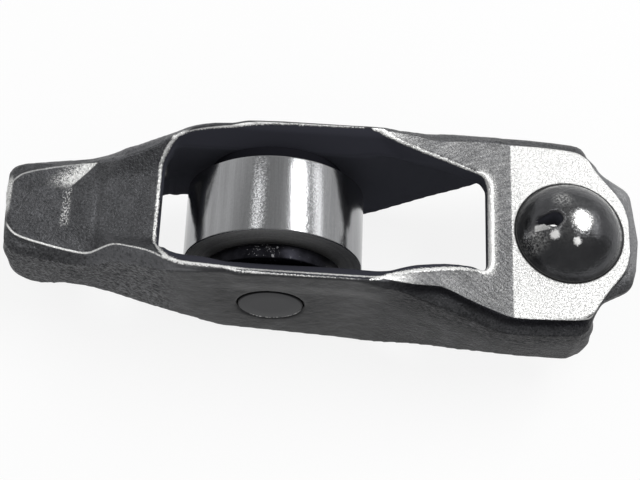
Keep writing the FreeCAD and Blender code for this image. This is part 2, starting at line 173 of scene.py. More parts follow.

# Colours that are the same whatever the settings
# Painted shade: near black for the band under the plate's front edge and the back washer's rim
SHADE_BLACK = (0.008, 0.008, 0.010)
# Painted shade inside the window, the channel and the oil hole
CHANNEL_SHADE = (0.010, 0.010, 0.012)
# Painted shade in concave creases and in the groove round the dome
HOLLOW_SHADE = (0.006, 0.006, 0.007)
# Painted shade for the film inside the window, on its walls and bevel; the skin's film is scale on the
# outer walls and painted shade below the front bend
WALL_SHADE = (0.058, 0.060, 0.074)
BEVEL_SHADE = (0.040, 0.041, 0.052)
SKIN_SCALE_AND_SHADE = (0.020, 0.020, 0.022)
RING_SIDE_DARK = (0.17, 0.17, 0.173)
RING_SIDE_LIGHT = (0.33, 0.33, 0.333)
GLINT = (0.30, 0.30, 0.31)
# Painted shade: the back washer's rim
WASHER_SHADE = (0.010, 0.010, 0.013)
STAKE_BLACK = (0.010, 0.010, 0.011)


# Settings


class ArmSettings(bpy.types.PropertyGroup):
    """Sizes and colours of the stamped arm."""

    voxel: bpy.props.FloatProperty(
        name="Skin cell", description="Cell size of the arm's skin", default=0.00021, unit="LENGTH"
    )
    rounding: bpy.props.IntProperty(
        name="Edge rounding", description="Smoothing rounds for the stamped edges", default=3
    )
    steel: bpy.props.FloatVectorProperty(
        name="Arm steel", description="Colour of the dark steel", subtype="COLOR", size=3,
        default=(0.076, 0.077, 0.081),
    )
    # Also the colour of the painted highlights on the edges, plate, ramp, dome and nose
    bright: bpy.props.FloatVectorProperty(
        name="Bright steel", description="Colour of coined and worn steel", subtype="COLOR", size=3,
        default=(0.72, 0.72, 0.71),
    )
    dome: bpy.props.FloatVectorProperty(
        name="Dome steel", description="Colour of the glossy dome", subtype="COLOR", size=3,
        default=(0.076, 0.077, 0.081),
    )


class RollerSettings(bpy.types.PropertyGroup):
    """Sizes and colours of the roller and what carries it."""

    segments: bpy.props.IntProperty(
        name="Segments", description="Steps round each turned piece", default=192
    )
    ground: bpy.props.FloatVectorProperty(
        name="Ground steel", description="Colour of the roller's running face", subtype="COLOR", size=3,
        default=(0.31, 0.313, 0.32),
    )
    # Near black for the washers: painted shade of the gap beside the roller
    washer_shade: bpy.props.FloatVectorProperty(
        name="Oiled steel", description="Colour of the washers", subtype="COLOR", size=3,
        default=(0.008, 0.008, 0.010),
    )
    needle_radius: bpy.props.FloatProperty(
        name="Needle radius", description="Radius of one needle", default=0.001, unit="LENGTH"
    )


class StageSettings(bpy.types.PropertyGroup):
    """Floor, lamps and backdrop."""

    floor: bpy.props.FloatVectorProperty(
        name="Floor", description="Colour of the floor", subtype="COLOR", size=3,
        default=(0.92, 0.92, 0.92),
    )
    shadow: bpy.props.FloatProperty(
        name="Shadow", description="Share of the floor that takes light and shadow", default=0.14,
        subtype="FACTOR",
    )
    key: bpy.props.FloatProperty(name="Key light", description="Brightness of the key lamp", default=9.0)
    ambient: bpy.props.FloatProperty(
        name="Ambient", description="Level of the soft light all round", default=0.5
    )


# Shader maths


class Socket:
    """A shader socket that takes part in Python expressions."""

    def __init__(self, shader, socket):
        self.shader = shader
        self.socket = socket

    def maths(self, operation, *others):
        places = dict(enumerate((self, *others)))
        return self.shader.node("ShaderNodeMath", {"operation": operation}, places)

    def __add__(self, other):
        return self.maths("ADD", other)

    __radd__ = __add__

    def __sub__(self, other):
        return self.maths("SUBTRACT", other)

    def __rsub__(self, other):
        return (self * -1.0) + other

    def __mul__(self, other):
        return self.maths("MULTIPLY", other)

    __rmul__ = __mul__

    def __pow__(self, other):
        return self.maths("POWER", other)

    def absolute(self):
        return self.maths("ABSOLUTE")

    def root(self):
        return self.maths("SQRT")

    def least(self, other):
        return self.maths("MINIMUM", other)

    def most(self, other):
        return self.maths("MAXIMUM", other)

    def step(self, low, high):
        """0 below low, 1 above high and smooth between them."""
        settings = {"interpolation_type": "SMOOTHSTEP"}
        return self.shader.node("ShaderNodeMapRange", settings, {0: self, 1: low, 2: high})

    def fall(self, low, high):
        """1 below low, 0 above high and smooth between them."""
        return 1.0 - self.step(low, high)

    def band(self, low, full, fade, high):
        """0 outside low and high, 1 between full and fade."""
        return self.step(low, full) * self.fall(fade, high)

    def line(self, middle, core, edge):
        """1 within core of a value, 0 further than edge from it."""
        return (self - middle).absolute().fall(core, edge)


class Shader:
    """The node tree of one material, of the world or of the needles, with its end node."""

    def __init__(self, tree, end, material=None):
        self.tree = tree
        self.tree.nodes.clear()
        self.out = tree.nodes.new(end)
        self.material = material

    def feed(self, target, value):
        if isinstance(value, Socket):
            self.tree.links.new(value.socket, target)
        elif hasattr(target.default_value, "__len__") and not hasattr(value, "__len__"):
            target.default_value = [value] * len(target.default_value)
        elif hasattr(value, "__len__") and len(target.default_value) == 4:
            target.default_value = (*value[:3], 1.0)
        else:
            target.default_value = value

    def node(self, kind, settings=None, places=None, output=0, **sockets):
        """Any node: its settings first, then the values or links of its sockets, by place or by name.
        A socket given None keeps its own value."""
        made = self.tree.nodes.new(kind)
        for key, value in (settings or {}).items():
            setattr(made, key, value)
        for place, value in (places or {}).items():
            self.feed(made.inputs[place], value)
        for key, value in sockets.items():
            found = [item for item in made.inputs if item.name.replace(" ", "_") == key and item.enabled]
            if value is not None:
                self.feed(found[0], value)
        return Socket(self, made.outputs[output])

    def split(self, vector):
        """X, Y and Z of a vector."""
        made = self.node("ShaderNodeSeparateXYZ", Vector=vector).socket.node
        return [Socket(self, part) for part in made.outputs]

    def place(self):
        """X, Y and Z of the object's own coordinates, in millimetres, and the vector of them."""
        where = self.node("ShaderNodeTexCoord", output=3)
        vector = self.node("ShaderNodeVectorMath", {"operation": "SCALE"}, Vector=where, Scale=1 / MM)
        return [*self.split(vector), vector]

    def vector(self, x, y, z):
        return self.node("ShaderNodeCombineXYZ", X=x, Y=y, Z=z)

    def grain(self, vector, scale, detail=2.0, roughness=0.5, distortion=0.0):
        """Noise about 0."""
        noise = self.node(
            "ShaderNodeTexNoise", Vector=vector, Scale=scale, Detail=detail, Roughness=roughness,
            Distortion=distortion,
        )
        return noise - 0.5

    def attribute(self, name):
        return self.node("ShaderNodeAttribute", {"attribute_name": name}, output=2)

    def mix(self, share, low, high):
        """Colour between two colours."""
        return self.node("ShaderNodeMix", {"data_type": "RGBA"}, {0: share, 6: low, 7: high}, 2)

    def layered(self, share, below, above):
        """A surface that covers a share of another."""
        return self.node("ShaderNodeMixShader", None, {0: share, 1: below, 2: above})

    def bump(self, height, depth, strength=1.0, normal=None):
        """Depth is the height of a full step, in millimetres."""
        return self.node(
            "ShaderNodeBump", Height=height, Distance=depth * MM, Strength=strength, Normal=normal
        )

    def metal(self, colour, roughness, normal=None, metallic=1.0, film=None):
        """The finished metal. A film is the share and colour of the matt oil or scale that covers it."""
        surface = self.node(
            "ShaderNodeBsdfPrincipled", Base_Color=colour, Roughness=roughness, Metallic=metallic,
            Normal=normal,
        )
        if film:
            share, tone = film
            matt = self.node(
                "ShaderNodeBsdfPrincipled", Base_Color=tone, Roughness=1.0, Metallic=0.0,
                Specular_IOR_Level=0.0,
            )
            surface = self.layered(share, surface, matt)
        return self.finish(surface)

    def finish(self, surface):
        """Puts the surface at the tree's end and gives the material back."""
        self.tree.links.new(surface.socket, self.out.inputs[0])
        return self.material


def new_shader(name):
    material = bpy.data.materials.new(name)
    material.use_nodes = True
    return Shader(material.node_tree, "ShaderNodeOutputMaterial", material)


def tint(colour, factor):
    return [channel * factor for channel in colour]


def apart(x, at_x, y, at_y):
    """Distance of the point x, y from a place."""
    return ((x - at_x) ** 2.0 + (y - at_y) ** 2.0).root()


# Materials


def arm_patterns(look):
    """The arm's coordinates, attributes and noises."""
    x, y, z, where = look.place()
    width = y.absolute()
    skin = SimpleNamespace(x=x, y=y, z=z, where=where, width=width)
    for name in ("rim", "lip", "inside", "hollow", "up"):
        setattr(skin, name, look.attribute(name))
    along, across = x * 0.87 + width * 0.5, x * 0.5 - width * 0.87
    along_wall, up_wall = x * 0.9 - z * 0.43, x * 0.43 + z * 0.9
    skin.fine = look.grain(where, 4.6, 3.0, 0.6, 0.5)
    skin.blotch = look.grain(where, 0.6, 3.0, 0.55)
    skin.speck = look.grain(where, 8.0, 2.0, 0.6)
    skin.streak = look.grain(look.vector(along * 0.5, across * 3.4, z * 0.4), 1.0, 3.0, 0.62)
    skin.drawn = look.grain(look.vector(x * 0.4, y * 2.0, z * 3.4 + x * 0.7), 1.0, 3.0, 0.62)
    skin.mottle = look.grain(look.vector(along_wall * 2.2, y * 2.0, up_wall * 4.2), 1.0, 3.0, 0.6)
    return skin


def arm_zones(skin):
    """Where each finish lies on the arm, as shares from 0 to 1."""
    x, y, z, rim, up = skin.x, skin.y, skin.z, skin.rim, skin.up
    zone = SimpleNamespace()
    from_dome = apart(x, DOME_X, y, 0.0)
    past_foot = from_dome.step(DOME_FOOT - 0.06, DOME_FOOT + 0.06)
    zone.dome = (1.0 - past_foot) * z.step(3.7, 3.95)
    zone.groove = past_foot * from_dome.fall(DOME_FOOT + 0.16, DOME_FOOT + 0.3) * z.step(3.6, 3.8)
    zone.flat = rim.fall(-0.06, 0.06) * up.step(0.3, 0.6)
    past_crease = (x + 0.12 * skin.speck).step(CREASE_X - 0.1, CREASE_X + 0.12)
    zone.plate = past_crease * zone.flat * (1.0 - zone.dome)
    on_ramp = x.step(RAMP_START - 0.6, RAMP_START + 0.6)
    zone.ramp = on_ramp * zone.flat * (1.0 - zone.plate) * (1.0 - zone.dome)
    zone.rough = 1.0 - x.band(-12.0, -7.0, 9.0, 13.0)
    zone.front = y.fall(-3.0, 0.0)
    zone.wall = up.fall(0.2, 0.9)
    zone.mottled = zone.wall * zone.rough * x.fall(6.0, 9.0)
    in_neck = x.band(-19.0, -16.0, -9.0, -6.0) * rim.step(-0.1, 0.05)
    zone.neck_bend = up.band(0.15, 0.4, 0.85, 0.95) * in_neck
    zone.beside_axle = apart(x, 0.0, z, 0.0).fall(3.0, 9.0)
    before_corner = x.fall(PLATE_CORNER_X - 0.75, PLATE_CORNER_X + 0.75)
    zone.front_flank = x.step(RAMP_START - 1.2, RAMP_START + 4.8) * before_corner * y.fall(-6.0, -4.0)
    below_edge = rim.step(-0.03, 0.05) * (1.0 - 0.8 * rim.step(0.3, 1.2)) * rim.fall(1.2, 1.5)
    zone.below_edge = below_edge * zone.front_flank
    return zone


def painted_edge_highlights(skin, zone):
    """Painted highlights along the nose, the rails beside the roller and the window."""
    x, rim, lip, speck = skin.x, skin.rim, skin.lip, skin.speck
    past_start = x.step(RAIL_START - 0.5, RAIL_START + 0.5)
    nose = rim.line(-0.01, 0.03, 0.13) * x.step(-26.4, -25.8) * (1.0 - past_start)
    nose = nose * zone.front.most(0.3 * x.fall(-22.0, -17.0)) * 1.3
    nose = nose * (1.0 - x.step(-16.8, -15.0) * (0.45 - 2.4 * speck))

    rail_end = x.fall(RAIL_END - 1.0, RAIL_END + 1.0)
    rail = (rim + 0.3 * speck).line(-0.14, 0.06, 0.18) * past_start * rail_end * zone.front

    thin = zone.front * x.step(RAIL_START, RAIL_START + 2.0) * rail_end
    window = (lip + 0.4 * speck - 0.2 * x.step(19.5, 20.5) + 0.07 * thin).fall(0.16, 0.30)
    window = window.most(lip.fall(0.3, 1.15) * x.step(19.5, 21.0) * (0.36 + 3.4 * speck))
    boss = x.step(-5.0, -3.0) * rail_end
    back_rail = skin.y.step(3.0, 4.0) * x.band(RAIL_START, RAIL_START + 1.5, RAIL_END, RAIL_END + 2.0)
    window = window * (1.0 - back_rail * (rim - 0.26 * boss).step(-0.10, 0.04))
    return nose.most(rail).most(window) * skin.up.step(0.2, 0.5)


def painted_nose_glints(skin, zone):
    """Painted highlights on the nose, in specks: a glint by the back edge, a line at the foot and the tip.
    """
    x, y, z, width, speck = skin.x, skin.y, skin.z, skin.width, skin.speck
    foot = x - NOSE_FOOT - NOSE_FOOT_SLANT * (width - NOSE_FOOT_WIDTH).most(0.0)
    glint = foot.fall(-0.1, 0.12) * foot.step(-3.4, -0.9) * y.step(1.7, 3.4) * zone.flat
    sparkle = foot.line(-0.25, 0.1, 0.6) * width.fall(1.8, 2.4) * z.step(2.7, 2.9)
    tip = x.fall(-26.2, -25.9) * y.line(1.0, 1.0, 2.4) * z.step(1.9, 2.3)
    glinting = glint * (speck * 6.0 + 0.45 + foot.step(-2.0, -0.3))
    glinting = glinting.most(sparkle * (speck * 7.0 - 0.05 - 0.14 * y))
    return glinting.most(tip * (speck * 3.0 + 0.9))


def dark_steel(look, skin, zone, steel):
    """The stamping's dark skin: grainy at both ends, streaked along the flanks, even by the axle. Light and
    shade are painted in: lighter tops, tail front and neck bend, darker walls.
    """
    x, y, z, wall = skin.x, skin.y, skin.z, zone.wall
    graininess = 0.9 + (2.4 - 1.1 * x.step(9.0, 13.0)) * wall
    shade = 1.0 + zone.rough * skin.fine * graininess + 0.6 * skin.blotch
    shade = shade + skin.drawn * 2.0 * x.step(6.0, 14.0) * wall + 0.5 * skin.fine
    # Painted light and shade: the tops lighter and the walls darker; the walls by the axle darker too
    shade = shade * (1.16 - 0.6 * wall + 0.45 * zone.mottled) * (1.0 - 0.28 * zone.beside_axle * wall)
    # Painted light: the front of the tail is lighter
    shade = shade * (1.0 + 1.3 * x.step(31.0, 33.5) * y.step(-4.0, -2.0))
    # Painted light: the bend below the coined top at the neck is lighter, with grain
    shade = shade * (1.0 + zone.neck_bend * (1.1 + 3.5 * skin.mottle + 1.6 * skin.fine).most(-0.3))
    shade = shade * (1.0 - 0.08 * x.fall(-20.5, -17.5))
    shade = shade * (1.0 - 0.16 * wall * z.fall(-4.5, -1.0) * x.step(0.0, 6.0))
    return look.mix(shade.step(0.0, 2.0), (0.0, 0.0, 0.0), tint(steel, 2.0))


def top_steel(look, skin, zone, settings):
    """Streaked ramp and bright speckled plate over the dark skin; the ramp's light front and part of the
    plate's brightness are painted highlight.
    """
    x = skin.x
    # Painted highlight: the ramp is lighter near the window's end, most at the front
    level = 0.10 + 0.8 * skin.streak + 0.7 * skin.speck + x.fall(10.5, 14.5) * (0.3 + 0.8 * zone.front)
    by_crease = (x - CREASE_X).fall(0.0, 1.3)
    # The plate's brightness is partly its own polish and partly a painted highlight
    speckled = (skin.fine + skin.speck - 0.15 * by_crease).step(-0.55, 0.0)
    plate = look.mix(speckled, tint(settings.bright, 0.48), tint(settings.bright, 0.95))
    dark = dark_steel(look, skin, zone, settings.steel)
    colour = look.mix(zone.ramp * level.step(-0.3, 1.2), dark, settings.bright)
    return look.mix(zone.plate, colour, plate)


def dome_highlights(skin, zone):
    """The dome's painted highlights, the large one first."""
    return [
        (apart(skin.x, x, skin.y, y) + 1.4 * size * skin.fine).fall(0.55 * size, 1.15 * size) * zone.dome
        for x, y, size in DOME_HIGHLIGHTS
    ]


def dome_steel(look, skin, zone, spots, colour, settings):
    """Glossy dome with the oil hole's bright facet, a halo and spots as painted highlights, and scuffs;
    painted light on the tail; all over the other colour.
    """
    x, y, fine, bright = skin.x, skin.y, skin.fine, settings.bright
    # Painted highlight: a bright facet beside the oil hole
    facet = x.band(25.2, 25.35, 26.2, 26.9) * y.band(-1.15, -1.05, -0.6, -0.4)
    patchy = (fine * 0.5 + skin.blotch * 0.8).step(-0.35, 0.35)
    dome = look.mix(patchy, tint(settings.dome, 0.72), tint(settings.dome, 1.2))
    colour = look.mix(zone.dome, colour, look.mix(facet * 0.8, dome, bright))
    first, second = (apart(x, a, y, b).fall(core, edge) for a, b, core, edge in DOME_SCUFFS)
    colour = look.mix(first.most(second) * zone.dome * (fine * 2.2 + 0.22), colour, bright)
    # Painted highlight: a halo round the dome's highlight, and painted light on the front of the tail
    halo = apart(x, 28.9, y, -0.3).fall(0.6, 3.2) * zone.dome
    tail = x.step(32.8, 34.2) * skin.rim.step(0.05, 0.3) * y.step(-5.0, -3.0) * skin.z.step(1.5, 2.5)
    colour = look.mix((halo * (0.10 + 0.5 * fine)).most(tail * (0.15 + 0.3 * fine)), colour, bright)
    # Painted highlights on the dome
    return look.mix((spots[0] * 0.8).most(spots[1]).most(spots[2]), colour, tint(bright, 1.25))


def wall_film(look, skin, zone, edges):
    """Share and colour of a matt film: painted shade inside the window and below the front flank's bend,
    scale on the outer walls.
    """
    outer, mottle, wall = 1.0 - skin.inside, skin.mottle, zone.wall
    # Painted shade: a film that thickens down the front flank below the bend
    below_top = skin.z - PLATE_TOP - (CREASE_X - skin.x).most(0.0) * 0.3
    below_bend = below_top.step(-5.5, -2.2) * wall * zone.front_flank
    share = (skin.inside * (1.0 - edges) * 0.95).most((0.28 + 3.0 * mottle) * zone.mottled * outer)
    share = share.most(zone.neck_bend * zone.rough * (0.10 + 2.2 * mottle) * (1.0 - edges) * outer)
    share = share.most(below_bend * (0.33 + 2.0 * mottle)).most(zone.beside_axle * wall * 0.13).least(0.95)
    tone = look.mix(skin.up.step(0.2, 0.5), WALL_SHADE, BEVEL_SHADE)
    return share, look.mix(outer, tone, SKIN_SCALE_AND_SHADE)


def arm_steel(settings):
    """Dark stamped steel: mottled walls, coined plate, glossy dome and bright worn edges."""
    look = new_shader("arm_steel")
    skin = arm_patterns(look)
    zone = arm_zones(skin)
    edges = painted_edge_highlights(skin, zone)
    spots = dome_highlights(skin, zone)

    colour = top_steel(look, skin, zone, settings)
    colour = dome_steel(look, skin, zone, spots, colour, settings)
    # Painted shadow: the walls just under the plate's front edge turn near black
    colour = look.mix(zone.below_edge * 0.95, colour, SHADE_BLACK)
    # Painted highlights on the nose
    colour = look.mix(painted_nose_glints(skin, zone), colour, settings.bright)
    # Painted shade: the walls inside the window, the channel and the oil hole turn near black
    colour = look.mix(skin.inside, colour, CHANNEL_SHADE)
    # Painted shade: concave creases and the groove round the dome's foot darken
    crease_shade = (skin.hollow * 0.5).most(zone.groove * 0.96) * (1.0 - skin.inside)
    colour = look.mix(crease_shade, colour, HOLLOW_SHADE)
    # Painted highlights along the nose, the rails and the window's edge
    colour = look.mix(edges * (1.0 + 0.8 * skin.fine), colour, tint(settings.bright, 1.25))

    rough = 0.43 + 0.2 * skin.fine * (1.0 - zone.dome) - 0.1 * skin.blotch - zone.dome * 0.26
    rough = rough + skin.inside * 0.1 + 0.42 * spots[1].most(spots[2])
    coarse = look.bump(look.grain(skin.where, 1.1, 2.0, 0.45, 0.3), 0.10, 0.55)
    relief = skin.fine * (0.25 + zone.rough) * (1.0 - 0.88 * zone.dome - 0.13 * zone.plate)
    normal = look.bump(skin.drawn * skin.x.step(6.0, 14.0), 0.03, 0.6, look.bump(relief, 0.16, 0.7, coarse))
    return look.metal(colour, rough, normal, film=wall_film(look, skin, zone, edges))


def ground_steel(settings):
    """Ground running face with painted reflection bands along the axis and two speckled strips, and dull
    turned sides.
    """
    look = new_shader("ground_steel")
    x, y, z, where = look.place()
    radius = apart(x, 0.0, z, 0.0)
    angle = x.maths("ARCTAN2", z)
    lines = look.grain(look.vector(0.0, y * 0.25, angle * 60.0), 1.0, 2.0, 0.6)
    # Painted reflections: bands along the axis
    band = look.grain(look.vector(3.0, 0.0, angle * 7.0), 1.0, 2.0, 0.5)
    speck = look.grain(where, 4.5, 2.0, 0.6)
    turned = look.grain(look.vector(radius * 5.0, 0.0, angle * 0.6), 1.0, 2.0, 0.6)
    running = radius.step(ROLLER_RADIUS - 0.2, ROLLER_RADIUS - 0.06)
    # Painted reflections: two speckled strips at fixed turns of the ring
    speckled = angle.line(-0.195, 0.05, 0.11).most(0.35 * angle.line(0.38, 0.04, 0.12))
    level = 0.5 + 0.35 * lines + 0.6 * band + speck * (0.25 + 2.4 * speckled)
    face = look.mix(level.step(0.0, 1.0), tint(settings.ground, 0.72), tint(settings.ground, 1.28))
    side = look.mix((turned + 0.5 * speck).step(-0.3, 0.3), RING_SIDE_DARK, RING_SIDE_LIGHT)
    colour = look.mix(running, side, face)
    rough = 0.5 - running * 0.34 + speck * 0.06
    dents = look.bump(speck * (0.3 + speckled), 0.022, 0.7)
    normal = look.bump(lines * running + turned * (1.0 - running), 0.004, 0.5, dents)
    return look.metal(colour, rough, normal, 0.25 + 0.75 * running)


def oiled_steel(settings):
    """Washers painted near black as shade, with painted glints; the back washer's rim painted black."""
    look = new_shader("oiled_steel")
    x, y, z, where = look.place()
    smear = look.grain(where, 1.1, 3.0, 0.6, 0.8)
    speck = look.grain(where, 2.4, 2.0, 0.6)
    curl = look.grain(where, 4.4, 1.0, 0.5, 1.0)
    back_rim = apart(x, 0.0, z, 0.0).step(WASHER_RADIUS - 0.3, WASHER_RADIUS - 0.2) * y.step(0.0, 1.0)
    glint_patch = apart(x, -0.8, z, 6.5).fall(1.0, 2.2)
    colour = look.mix(smear.step(-0.2, 0.3), settings.washer_shade, tint(settings.washer_shade, 2.0))
    # Painted shade: the back washer's rim turns black
    colour = look.mix(back_rim, colour, SHADE_BLACK)
    # Painted glints, thicker in one patch
    colour = look.mix((curl + 0.12 * glint_patch).step(0.26, 0.32) * (1.0 - back_rim), colour, GLINT)
    normal = look.bump(smear, 0.02, 0.5, look.bump(speck, 0.01, 0.5))
    return look.metal(colour, 0.34 + 0.2 * smear, normal, film=(back_rim, WASHER_SHADE))


def axle_steel(settings):
    """Axle end, the same dark steel as the wall with a smoother face."""
    look = new_shader("axle_steel")
    x, _, z, where = look.place()
    radius = apart(x, 0.0, z, 0.0)
    fine = look.grain(where, 3.5, 3.0, 0.6, 0.3)
    turned = look.grain(look.vector(radius * 6.0, 0.0, 0.0), 1.0, 2.0, 0.6)
    stake = radius.step(AXLE_RADIUS - 0.22, AXLE_RADIUS - 0.06)
    colour = look.mix(
        (fine * 0.7 + turned * 0.3).step(-0.2, 0.2), tint(settings.steel, 0.46), tint(settings.steel, 0.62)
    )
    colour = look.mix(stake, colour, STAKE_BLACK)
    normal = look.bump(fine, 0.006, 0.5, look.bump(turned, 0.004, 0.5))
    return look.metal(colour, 0.47 + 0.1 * fine, normal, film=(0.15 + 0.1 * fine, SKIN_SCALE_AND_SHADE))


def needle_steel(settings):
    """Bright ground needles with a film of oil."""
    look = new_shader("needle_steel")
    x, y, z, _ = look.place()
    lines = look.grain(look.vector(x * 0.4, y * 8.0, z * 0.4), 1.0, 2.0, 0.6)
    colour = look.mix(lines.step(-0.2, 0.2), tint(settings.ground, 0.8), tint(settings.ground, 1.15))
    return look.metal(colour, 0.23 + 0.1 * lines, look.bump(lines, 0.003, 0.5))


# Meshes


def finished(mesh, name, body, nodes, material):
    """Puts a mesh into the scene as a piece that stands for CAD nodes."""
    piece = bpy.data.objects.new(name, mesh)
    bpy.context.scene.collection.objects.link(piece)
    mesh.materials.clear()
    mesh.materials.append(material)
    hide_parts(*nodes)
    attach(piece, body)
    return piece


def merged_copy(node):
    """A copy of a CAD node's mesh with its loose triangles joined."""
    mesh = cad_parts[node].data.copy()
    work = bmesh.new()
    work.from_mesh(mesh)
    bmesh.ops.remove_doubles(work, verts=work.verts, dist=1e-7)
    work.to_mesh(mesh)
    work.free()
    return mesh


def evaluated(piece):
    """The mesh that a piece's modifiers make."""
    bpy.context.view_layer.update()
    graph = bpy.context.evaluated_depsgraph_get()
    return bpy.data.meshes.new_from_object(piece.evaluated_get(graph))


class Neighbours:
    """Which points of a mesh an edge joins."""

    def __init__(self, mesh):
        pairs = np.zeros(len(mesh.edges) * 2, np.int32)
        mesh.edges.foreach_get("vertices", pairs)
        self.degree = np.bincount(pairs, minlength=len(mesh.vertices)).astype(float)
        self.here, self.there = pairs.reshape(-1, 2).T

    def mean(self, values):
        """Mean of each point's neighbours, for one or more columns."""
        count = len(values)
        total = np.stack([
            np.bincount(self.here, column[self.there], count)
            + np.bincount(self.there, column[self.here], count)
            for column in values.reshape(count, -1).T
        ], 1)
        return (total / self.degree[:, None]).reshape(values.shape)

    def relaxed(self, values, shares):
        """Values moved by each share in turn towards the mean of their neighbours."""
        for share in shares:
            values = values + share * (self.mean(values) - values)
        return values


def ease(low, high, values):
    """0 below low, 1 above high and smooth between them."""
    share = np.clip((values - low) / (high - low), 0, 1)
    return share * share * (3 - 2 * share)


def eased(edge):
    """An outline with its corners cut twice."""
    points = np.array(edge)
    for _ in range(2):
        quarter = 0.75 * points[:-1] + 0.25 * points[1:]
        three = 0.25 * points[:-1] + 0.75 * points[1:]
        points = np.concatenate([points[:1], np.stack([quarter, three], 1).reshape(-1, 2), points[-1:]])
    return points


def plan_distance(x, y, edge):
    """Distance seen from above from an outline that is the same on both sides, negative inside it."""
    edge = eased(edge)
    corners = np.array([(edge[0][0], 0.0), *edge, (edge[-1][0], 0.0)])
    points = np.stack([x, np.abs(y)], 1)
    nearest = np.full(len(points), np.inf)
    for start, end in zip(corners[:-1], corners[1:]):
        run = end - start
        share = np.clip((points - start) @ run / max(run @ run, 1e-12), 0, 1)
        nearest = np.minimum(nearest, np.linalg.norm(points - start - share[:, None] * run, axis=1))
    half = np.interp(x, edge[:, 0], edge[:, 1])
    within = (points[:, 1] < half) & (x > edge[0][0]) & (x < edge[-1][0])
    return np.where(within, -nearest, nearest)


def window_end(y):
    """X of the slanted line where the window ends beside the nose."""
    return WINDOW_START + WINDOW_SLANT * np.clip(np.abs(y) - WINDOW_STRAIGHT, 0, None)


def in_ball(x, y, z):
    """Depth below the dome's ball."""
    return DOME_BALL - np.sqrt((x - DOME_X) ** 2 + y**2 + (z - DOME_BALL_Z) ** 2)


def lip_edges(work):
    """Ends of the solid's sharp upper edges, along which the skin gets a painted highlight."""
    for edge in work.edges:
        if len(edge.link_faces) != 2 or not edge.is_convex:
            continue
        if edge.calc_face_angle() < LIP_ANGLE or max(face.normal.z for face in edge.link_faces) < 0.8:
            continue
        start, end = (vert.co / MM for vert in edge.verts)
        middle = (start + end) / 2
        width = abs(middle.y)
        in_window = window_end(middle.y) - 0.3 < middle.x < CREASE_X
        by_neck = middle.x < WINDOW_START + 1.25 and width > 6.05
        by_ramp = 8.0 < middle.x < 13.0 and width > 7.75
        if in_window and not by_neck and not by_ramp:
            yield start, end


def lip_distance(mesh, points):
    """Distance from the sharp upper edges of the stamping, in millimetres."""
    work = bmesh.new()
    work.from_mesh(mesh)
    work.normal_update()
    spots = []
    for start, end in lip_edges(work):
        count = max(1, int((end - start).length / LIP_SPACING))
        spots += [start.lerp(end, i / count) for i in range(count + 1)]
    work.free()
    tree = kdtree.KDTree(len(spots))
    for i, spot in enumerate(spots):
        tree.insert(spot, i)
    tree.balance()
    return np.array([tree.find(point)[2] for point in points])


def under_edge(points, normals, lip, neighbours):
    """How much each point lies on the walls just below the window's edge: left, right and front."""
    near = ease(0.12, 0.5, lip) * (1 - ease(1.2, 2.6, lip)) * (points[:, 2] > -3)
    facing = np.stack([normals[:, 0], -normals[:, 0], normals[:, 1]], 1)
    return neighbours.relaxed(near[:, None] * ease(0.4, 0.8, facing), [0.5] * EDGE_ROUNDS)


def neck_flanks(x, y):
    """The flanks run into each other along the neck without a corner."""
    spacing, blur, reach = 0.25, 1.3, 12
    places = np.arange(-27.0, -6.0, spacing)
    half = np.array([np.abs(y[np.abs(x - place) < 0.2]).max(initial=0.0) for place in places])
    weight = np.exp(-((np.arange(-reach, reach + 1) * spacing / blur) ** 2))
    soft = np.convolve(np.pad(half, reach, mode="edge"), weight / weight.sum(), "valid")
    swell = np.interp(x, places, soft - half) * ease(2.5, 4.5, np.abs(y))
    return y + np.sign(y) * swell * ease(-23.5, -21.5, x) * ease(-8, -11, x)


def nose_rise(x, y, z, up):
    """The middle of the nose rises towards the window from a slanted foot line."""
    foot = NOSE_FOOT + NOSE_FOOT_SLANT * np.clip(np.abs(y) - NOSE_FOOT_WIDTH, 0, None)
    rise = np.clip(NOSE_SLOPE * (x - foot), 0, None)
    top = ease(0.5, 0.95, up) * ease(-16.9, -17.9, x) * ease(-0.1, -0.5, np.abs(y) - 5.1)
    return z + top * np.clip(NOSE_TOP + rise - z, 0, 0.5) * (z > 2.3)


def coined_bend(x, z, up, rim):
    """The bend falls away at once outside the edge of the coined top."""
    coined = 1 - ease(-10.5, -9.0, x) * (1 - ease(8.5, 11.0, x))
    return z - COINED_FALL * coined * ease(0.0, 0.5, rim) * ease(0.05, 0.6, up) * (z > -1.0)


def nose_end(x, y, z):
    """The nose's end is full, and the back flank runs straight into the neck."""
    x = x - 0.3 * ease(-25.0, -26.0, x) * ease(0.0, 1.5, y) * ease(0.5, 1.5, z)
    x = x - 0.36 * ease(-22.0, -25.5, x) * ease(1.8, 0.0, z)
    return x, y + 0.33 * np.exp(-(((x - NECK_X) / 1.5) ** 2)) * ease(3.5, 4.8, y)


